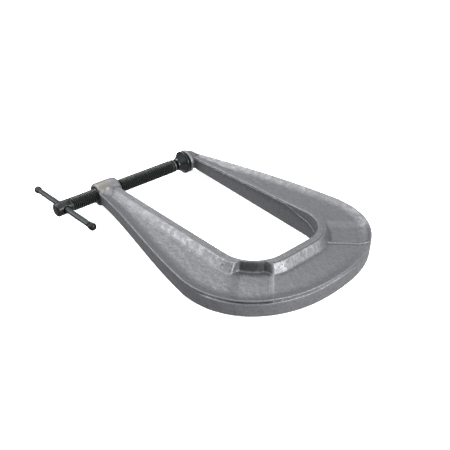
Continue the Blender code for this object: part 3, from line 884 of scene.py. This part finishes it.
def makeBoss():
    left, right, radius, edge = (bossSizes[key] for key in ("left", "right", "radius", "edge"))
    profile = [(left, 0.0)] + straight((left, 0.0), (left, radius - edge), 8)
    profile += arc((left + edge, radius - edge), edge, 180.0, 90.0, 8)
    profile += straight((left + edge, radius), (right - 2 * edge, radius), 16)
    profile += arc((right - edge, radius - edge - 0.4), edge, 80.0, 0.0, 8)
    profile += straight((right, radius - edge - 0.4), (right, 0.0), 8) + [(right, 0.0)]
    return addObject("boss", meshFrom(turnedMesh(profile, bossSizes["sides"]), "boss"))


def makeLobe():
    builder = bmesh.new()
    bmesh.ops.create_uvsphere(builder, u_segments=96, v_segments=48, radius=1.0)
    half, middle = bossSizes["lobeHalf"], bossSizes["lobeAt"]
    for vertex in builder.verts:
        vertex.co = toPlace([vertex.co[axis] * half[axis] + middle[axis] for axis in range(3)])
    return addObject("lobe", meshFrom(builder, "lobe"))


def makeAnvil():
    face, radius = anvilSizes["face"], anvilSizes["radius"]
    profile = [(face, 0.0)] + straight((face, 0.0), (face, radius - 0.9), 8)
    profile += arc((face + 0.9, radius - 0.9), 0.9, 180.0, 90.0, 4)
    previous = profile[-1]
    for along, height in anvilSizes["back"]:
        spot = (face + along, height)
        profile += straight(previous, spot, 2) + [spot]
        previous = spot
    return addObject("anvil", meshFrom(turnedMesh(profile, anvilSizes["sides"]), "anvil"))


def makeBore():
    left, right, bore, mouth = (bossSizes[key] for key in ("left", "right", "bore", "mouth"))
    flare = mouth - bore
    profile = [(left - 2.0, 0.0), (left - 2.0, mouth + 2.0 * 0.9), (left, mouth), (left + flare, bore),
               (right - flare, bore), (right, mouth), (right + 3.0, mouth + 3.0 * 0.9), (right + 3.0, 0.0)]
    return addObject("bore", meshFrom(turnedMesh(profile, 72), "bore"))


def makeDimple():
    builder = bmesh.new()
    bmesh.ops.create_icosphere(builder, subdivisions=3, radius=bossSizes["dimple"] * mm)
    bmesh.ops.translate(builder, verts=builder.verts[:], vec=toPlace(bossSizes["dimpleAt"]))
    return addObject("dimple", meshFrom(builder, "dimple"))


def blendJoints(item, sources):
    # points that no source mesh had lie on the seams, and the skin around them is eased
    tree = kdtree.KDTree(sum(len(source) for source in sources))
    count = 0
    for source in sources:
        for spot in source:
            tree.insert(spot, count)
            count += 1
    tree.balance()
    builder = bmesh.new()
    builder.from_mesh(item.data)
    seam = [vertex.co.copy() for vertex in builder.verts if tree.find(vertex.co)[2] > 2e-6]
    near = kdtree.KDTree(len(seam))
    for index, spot in enumerate(seam):
        near.insert(spot, index)
    near.balance()
    weights = {}
    for vertex in builder.verts:
        gap = near.find(vertex.co)[2]
        if gap < jointBlend["reach"] * mm:
            weights[vertex] = jointBlend["strength"] * ease(1.0 - gap / (jointBlend["reach"] * mm))
    print("seam points", len(seam))
    for _ in range(jointBlend["rounds"]):
        moved = []
        for vertex, weight in weights.items():
            around = Vector()
            for link in vertex.link_edges:
                around += link.other_vert(vertex).co
            moved.append((vertex, vertex.co.lerp(around / len(vertex.link_edges), weight)))
        for vertex, spot in moved:
            vertex.co = spot
    builder.to_mesh(item.data)
    builder.free()


def makeClampFrame(material):
    builder = bmesh.new()
    rings = [[builder.verts.new(toPlace(point)) for point in frameSection(station)]
             for station in frameStations()]
    joinRings(builder, rings)
    item = addObject("clampFrame", meshFrom(builder, "clampFrame"))
    sources = [[vertex.co.copy() for vertex in item.data.vertices]]
    for tool in (makeBoss(), makeLobe(), makeAnvil()):
        sources.append([vertex.co.copy() for vertex in tool.data.vertices])
        cut(item, tool, "UNION")
    print("boss, lobe and anvil joined to the frame:", len(item.data.polygons), "faces")
    blendJoints(item, sources)
    cut(item, makeBore(), "DIFFERENCE")
    cut(item, makeDimple(), "DIFFERENCE")
    item = runTree(item, skinTree, {**forgedSkin, "Material": material})
    item.data.shade_smooth()
    markBends(item.data, 2)
    print("frame finished:", len(item.data.polygons), "faces")
    return item


forgedSteel = makeSteel("forgedSteelBlasted", {
    "dark": (0.105, 0.107, 0.115), "light": (0.137, 0.139, 0.148), "wearHighlightTone": (0.28, 0.28, 0.29),
    "dirtShadeTone": (0.03, 0.03, 0.031), "metallic": 0.75, "roughness": (0.42, 0.54),
    "grainSize": 1.2, "blotchSize": 6.0, "grainDepth": 0.2, "pitDepth": 0.12, "pitShade": 0.4,
    "speckle": 0.3, "edgeReach": 0.22, "wearHighlightShare": 0.3, "dirtShadeShare": 0.5, "blotchDepth": 0.2,
    "patches": [  # centre, radius, tone and amount: an oil stain on the boss top, painted shade at both bore mouths, painted shadow under the boss and painted shade along the corner wall
        ((-62.0, -3.0, 12.5), 10.0, (0.140, 0.134, 0.118), 0.85),
        # painted shade where the screw enters and leaves the boss
        ((-68.0, 0.0, 0.0), 9.6, (0.045, 0.044, 0.04), 0.8),
        ((-44.0, 0.0, 0.0), 9.6, (0.05, 0.05, 0.05), 0.8),
        # painted shadow on the boss's lower side, below the screw
        ((-69.0, -9.0, -5.0), 11.0, (0.012, 0.012, 0.012), 0.9),
        # painted shade on the near corner's inner wall
        ((-44.1, -216.7, 9.5), 5.5, (0.03, 0.031, 0.033), 0.6),
        ((-38.8, -223.2, 9.5), 5.5, (0.03, 0.031, 0.033), 0.7),
        ((-32.3, -228.4, 9.5), 5.5, (0.03, 0.031, 0.033), 0.6),
    ],
})

clampFrame = makeClampFrame(forgedSteel)


# The spindle: thread from the tree, head and tip turned to match its collars.

spindleSizes = {
    "headEnd": -120.0, "headRadius": 7.9, "threadStart": -101.6, "pitch": 25.4 / 11.0, "turns": 61,
    "crest": 7.94, "tooth": 0.6134, "sides": 48, "shoulderEnd": 39.8, "shoulderRadius": 7.7,
    "chamferEnd": 42.2, "chamferRadius": 5.6, "neck": 2.6, "ballAt": 48.9, "ball": 3.9,
    "crossHole": 3.5, "holeFlare": 0.7, "headEdge": 2.6, "profileSteps": 10, "runOut": 0.6,
}


def slideJoint(name):
    return next(joint for joint in frame["joints"] if joint["name"] == name)


def barMiddle():  # millimetres from the shape's zero
    low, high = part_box("handle_bar")
    return ((low + high) / 2 - origin) / mm


def handleTurn():  # x runs along the handle bar
    axis = Vector(slideJoint("handle_slide")["axis"]).normalized()
    side = Vector((1.0, 0.0, 0.0))
    up = axis.cross(side)
    turn = Matrix((axis, -side, up)).transposed()
    if turn.determinant() < 0.0:
        turn = Matrix((axis, side, up)).transposed()
    return turn


def handlePlace(flip=False):
    spin = Matrix.Translation(barMiddle()) @ handleTurn().to_4x4()
    return spin @ Matrix.Rotation(math.pi, 4, "Z") if flip else spin


def dress(item, material, sharpAngle=40.0):
    item.data.materials.append(material)
    item.data.shade_smooth()
    item.data.set_sharp_from_angle(angle=math.radians(sharpAngle))
    markBends(item.data)
    return item


def finishTurned(name, profile, sides, spin, material, body, node):
    item = dress(addObject(name, meshFrom(turnedMesh(profile, sides, spin), name)), material)
    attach(item, body)
    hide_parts(node)


def spindleProfiles(root, threadEnd):  # head and tip, each up to its end of the thread
    sizes = spindleSizes
    headEnd, headRadius, edge, threadStart = (sizes[key] for key in (
        "headEnd", "headRadius", "headEdge", "threadStart"))
    shoulderEnd, shoulder, chamferEnd, chamfer = (sizes[key] for key in (
        "shoulderEnd", "shoulderRadius", "chamferEnd", "chamferRadius"))
    neck, ball, ballAt = sizes["neck"], sizes["ball"], sizes["ballAt"]
    head = [(headEnd, 0.0)] + straight((headEnd, 0.0), (headEnd + 0.15, 4.6), 4)
    head += arc((headEnd + edge, headRadius - edge), edge, 172.0, 90.0, 8)
    head += straight((headEnd + edge, headRadius), (threadStart - 0.8, headRadius), 16)
    head += [(threadStart - 0.8, headRadius), (threadStart - 0.55, headRadius - 0.15), (threadStart, root)]
    tip = [(threadEnd, root), (threadEnd + 0.5, root + 0.1), (threadEnd + 1.1, shoulder - 0.2),
           (threadEnd + 1.4, shoulder), (shoulderEnd - 0.3, shoulder), (shoulderEnd + 0.1, shoulder - 0.2),
           (chamferEnd - 0.2, chamfer + 0.15), (chamferEnd, chamfer - 0.2), (chamferEnd + 0.05, neck + 0.5),
           (chamferEnd + 0.5, neck)]
    opening = math.degrees(math.asin(neck / ball))
    tip += arc((ballAt, 0.0), ball, 180.0 - opening, 6.0, 20)
    tip += [(ballAt + ball, 0.0)]
    return head, tip


def makeSpindle(material):
    sizes = spindleSizes
    root = sizes["crest"] - sizes["tooth"] * sizes["pitch"]
    threadEnd = sizes["threadStart"] + sizes["pitch"] * (sizes["turns"] - 1)
    item = addObject("spindleScrew", bpy.data.meshes.new("thread"))
    runTree(item, threadTree, {
        "Start": toPlace((sizes["threadStart"], 0.0, 0.0)), "Pitch": sizes["pitch"] * mm,
        "Turns": sizes["turns"], "Steps Per Turn": sizes["sides"], "Profile Steps": sizes["profileSteps"],
        "Crest Radius": sizes["crest"] * mm, "Root Radius": root * mm, "Run Out": sizes["runOut"],
        "Material": material,
    })
    print("thread wound:", len(item.data.polygons), "faces")
    builder = bmesh.new()
    builder.from_mesh(item.data)
    for profile in spindleProfiles(root, threadEnd):
        part = turnedMesh(profile, sizes["sides"])
        mesh = bpy.data.meshes.new("part")
        part.to_mesh(mesh)
        part.free()
        builder.from_mesh(mesh)
    bmesh.ops.remove_doubles(builder, verts=builder.verts[:], dist=0.000003)
    item.data = meshFrom(builder, "spindleScrew")
    half = sizes["headRadius"] + 1.0
    flare, hole = sizes["holeFlare"], sizes["crossHole"]
    mouth = [(half, 0.0), (half, hole + flare + 1.0), (half - 1.0, hole + flare), (half - 1.0 - 1.1, hole)]
    holeProfile = [(-along, radius) for along, radius in mouth] + list(reversed(mouth))
    drill = turnedMesh(holeProfile, 40, handlePlace())
    cut(item, addObject("hole", meshFrom(drill, "hole")), "DIFFERENCE")
    item.data.materials.clear()
    dress(item, material, 50.0)
    return item


blackScrew = makeSteel("blackOxideScrew", {
    "dark": (0.004, 0.005, 0.005), "light": (0.008, 0.009, 0.009), "wearHighlightTone": (0.075, 0.08, 0.08),
    "dirtShadeTone": (0.002, 0.002, 0.002), "metallic": 0.6, "specular": 0.12, "roughness": (0.18, 0.30),
    "patches": [((-112.0, 0.0, 4.0), 9.0, (0.032, 0.032, 0.034), 0.8)],
    "grainSize": 0.35, "blotchSize": 6.0, "grainDepth": 0.03, "pitDepth": 0.02, "pitShade": 0.2,
    # the crests get a painted highlight along with rubbed wear, and the thread roots get painted shade
    # along with dirt
    "speckle": 0.10, "edgeReach": 0.16, "wearHighlightShare": 0.8, "dirtShadeShare": 0.9,
    "markSpacing": 0.25, "markDepth": 0.02,
})

spindleScrew = makeSpindle(blackScrew)
print("spindle finished:", len(spindleScrew.data.polygons), "faces")


# The sliding handle: a bar with a barrel knob on each end.

handleSizes = {
    "radius": 3.175, "half": 60.2, "spigot": 2.0, "spigotLength": 5.0, "sides": 48,
    "knobRadius": 4.3, "knobLength": 10.0, "knobHole": 2.3, "knobHoleDepth": 5.4, "knobGap": 0.3,
    "knobSteps": 28, "knobBelly": 0.58, "knobTail": 0.42,  # shares before and after its widest place
}


def makeHandle(barSteel, knobSteel):
    sizes = handleSizes
    half, radius, spigot = sizes["half"], sizes["radius"], sizes["spigot"]
    shoulder = half - sizes["spigotLength"]
    oneSide = [(shoulder - 0.5, radius), (shoulder - 0.15, radius - 0.12), (shoulder, radius - 0.4),
               (shoulder, spigot), (half - 0.3, spigot), (half, spigot - 0.3), (half, 0.0)]
    bar = [(-along, height) for along, height in reversed(oneSide)]
    bar += straight((-shoulder + 0.5, radius), (shoulder - 0.5, radius), 60) + oneSide
    finishTurned("handleBar", bar, sizes["sides"], handlePlace(), barSteel,
                 "handle", "handle_bar")
    start = shoulder + sizes["knobGap"]
    length, knob, hole = sizes["knobLength"], sizes["knobRadius"], sizes["knobHole"]
    profile = [(start, hole), (start, radius - 0.25), (start + 0.12, radius - 0.05)]
    steps, belly, tail = sizes["knobSteps"], sizes["knobBelly"], sizes["knobTail"]
    for step in range(1, steps):  # swells to a belly, then closes in a round end
        share = step / steps
        if share < belly:
            height = between(radius, knob, ease(share / belly) ** 0.8)
        else:
            height = knob * (1.0 - ((share - belly) / tail) ** 2.8) ** 0.5
        profile.append((start + length * share, height))
    floor = start + sizes["knobHoleDepth"]
    profile += [(start + length, 0.0), (floor, 0.0), (floor, hole)]
    for name, node, flip in (("handleKnobNear", "handle_knob_near", True),
                             ("handleKnobFar", "handle_knob_far", False)):
        finishTurned(name, profile, sizes["sides"], handlePlace(flip), knobSteel,
                     "handle", node)


barAxis = (0.0, 0.0, math.radians(-90.0))
oiledSteel = makeSteel("oiledSteelBar", {
    "dark": (0.020, 0.023, 0.025), "light": (0.033, 0.038, 0.041), "wearHighlightTone": (0.09, 0.10, 0.105),
    "dirtShadeTone": (0.01, 0.01, 0.012), "metallic": 0.75, "specular": 0.25, "roughness": (0.34, 0.48),
    "grainSize": 0.4, "blotchSize": 7.0, "grainDepth": 0.03, "pitDepth": 0.02, "pitShade": 0.2,
    "speckle": 0.15, "edgeReach": 0.3, "wearHighlightShare": 0.4, "dirtShadeShare": 0.4,
    "toolAxis": barAxis, "markSpacing": 0.6, "markDepth": 0.01,
})
knobSteel = makeSteel("upsetSteelKnob", {
    "dark": (0.006, 0.007, 0.008), "light": (0.010, 0.012, 0.013), "wearHighlightTone": (0.04, 0.04, 0.045),
    "dirtShadeTone": (0.006, 0.006, 0.007), "metallic": 0.75, "specular": 0.25, "roughness": (0.32, 0.46),
    "grainSize": 0.4, "blotchSize": 4.0, "grainDepth": 0.04, "pitDepth": 0.03, "pitShade": 0.2,
    "speckle": 0.15, "edgeReach": 0.3, "wearHighlightShare": 0.4, "dirtShadeShare": 0.4,
    "toolAxis": barAxis, "markSpacing": 0.5, "markDepth": 0.015,
})
makeHandle(oiledSteel, knobSteel)
print("handle finished")


# The swivel pad and the split ring that keeps the ball in it.

padSizes = {
    "mouth": 43.35, "mouthRadius": 7.3, "face": 55.2, "radius": 13.9, "cone": 11.9, "rimLength": 2.0,
    "socket": 5.1, "socketFloor": 53.1, "lipLength": 0.8, "lipRadius": 3.7, "sides": 96,
    "ringAt": 45.0, "ringLength": 1.0, "ringInner": 2.95, "ringOuter": 4.3, "ringGap": 24.0,
    "ringSteps": 72,
}


def makePad(material):
    sizes = padSizes
    mouth, mouthRadius, face, radius = (sizes[key] for key in ("mouth", "mouthRadius", "face", "radius"))
    cone, socket, floor, lip = (sizes[key] for key in ("cone", "socket", "socketFloor", "lipRadius"))
    rimStart = face - sizes["rimLength"]
    lipEnd = mouth + sizes["lipLength"]
    profile = [(mouth, lip + 0.25), (mouth, mouthRadius - 0.9)]
    profile += arc((mouth + 0.7, mouthRadius - 0.75), 0.7, 180.0, 100.0, 5)[1:]
    neckEnd = (mouth + 2.2, mouthRadius + 0.45)
    coneEnd = (rimStart - 0.5, cone)
    profile += [(mouth + 1.4, mouthRadius + 0.1), neckEnd] + straight(neckEnd, coneEnd, 12) + [coneEnd]
    profile += [(rimStart - 0.1, cone + 0.3), (rimStart, radius - 0.5), (rimStart + 0.25, radius - 0.1),
                (rimStart + 0.6, radius), (face - 0.6, radius), (face - 0.2, radius - 0.15),
                (face, radius - 0.6)]
    profile += straight(profile[-1], (face, 0.0), 10) + [(face, 0.0)]
    profile += [(floor, 0.0), (floor, socket - 1.2)]
    profile += arc((floor - 1.2, socket - 1.2), 1.2, 0.0, 90.0, 5)[1:]
    profile += [(lipEnd, socket), (lipEnd, lip), (mouth + 0.2, lip)]
    finishTurned("swivelPad", profile, sizes["sides"], None, material,
                 "pad", "swivel_pad")


def makeRing(material):
    sizes = padSizes
    start, end = sizes["ringAt"], sizes["ringAt"] + sizes["ringLength"]
    inner, outer = sizes["ringInner"], sizes["ringOuter"]
    section = roundLoop([((start, inner, 0.0), 0.15, 3, 1), ((start, outer, 0.0), 0.25, 4, 1),
                         ((end, outer, 0.0), 0.25, 4, 1), ((end, inner, 0.0), 0.15, 3, 1)])
    gap = math.radians(sizes["ringGap"])
    steps = sizes["ringSteps"]
    builder = bmesh.new()
    rings = []
    for step in range(steps + 1):
        angle = 0.5 * math.pi + between(gap / 2, 2.0 * math.pi - gap / 2, step / steps)
        ring = []
        for spot in section:
            point = (spot.x, spot.y * math.cos(angle), spot.y * math.sin(angle))
            ring.append(builder.verts.new(toPlace(point)))
        rings.append(ring)
    joinRings(builder, rings)
    item = dress(addObject("padRetainingRing", meshFrom(builder, "padRetainingRing")), material)
    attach(item, "pad_carrier")
    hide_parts("pad_retaining_ring")


blackPad = makeSteel("blackOxidePad", {
    "dark": (0.006, 0.008, 0.008), "light": (0.012, 0.015, 0.015), "wearHighlightTone": (0.07, 0.07, 0.07),
    "dirtShadeTone": (0.004, 0.004, 0.004), "metallic": 0.6, "specular": 0.5, "roughness": (0.12, 0.22),
    "grainSize": 0.3, "blotchSize": 5.0, "grainDepth": 0.015, "pitDepth": 0.02, "pitShade": 0.2,
    "speckle": 0.10, "edgeReach": 0.3, "wearHighlightShare": 0.35, "dirtShadeShare": 0.5,
    "markSpacing": 0.3, "markDepth": 0.03,
})
springSteel = makeSteel("springSteelRing", {
    "dark": (0.14, 0.14, 0.15), "light": (0.22, 0.22, 0.23), "wearHighlightTone": (0.40, 0.40, 0.41),
    "dirtShadeTone": (0.04, 0.04, 0.04), "metallic": 0.9, "roughness": (0.28, 0.42),
    "grainSize": 0.25, "blotchSize": 2.0, "grainDepth": 0.02, "pitDepth": 0.01, "pitShade": 0.2,
    "speckle": 0.15, "edgeReach": 0.3, "wearHighlightShare": 0.4, "dirtShadeShare": 0.4,
})
makePad(blackPad)
makeRing(springSteel)
print("pad and ring finished")

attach(clampFrame, "frame")
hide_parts("clamp_frame")
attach(spindleScrew, "spindle")
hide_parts("spindle_screw")
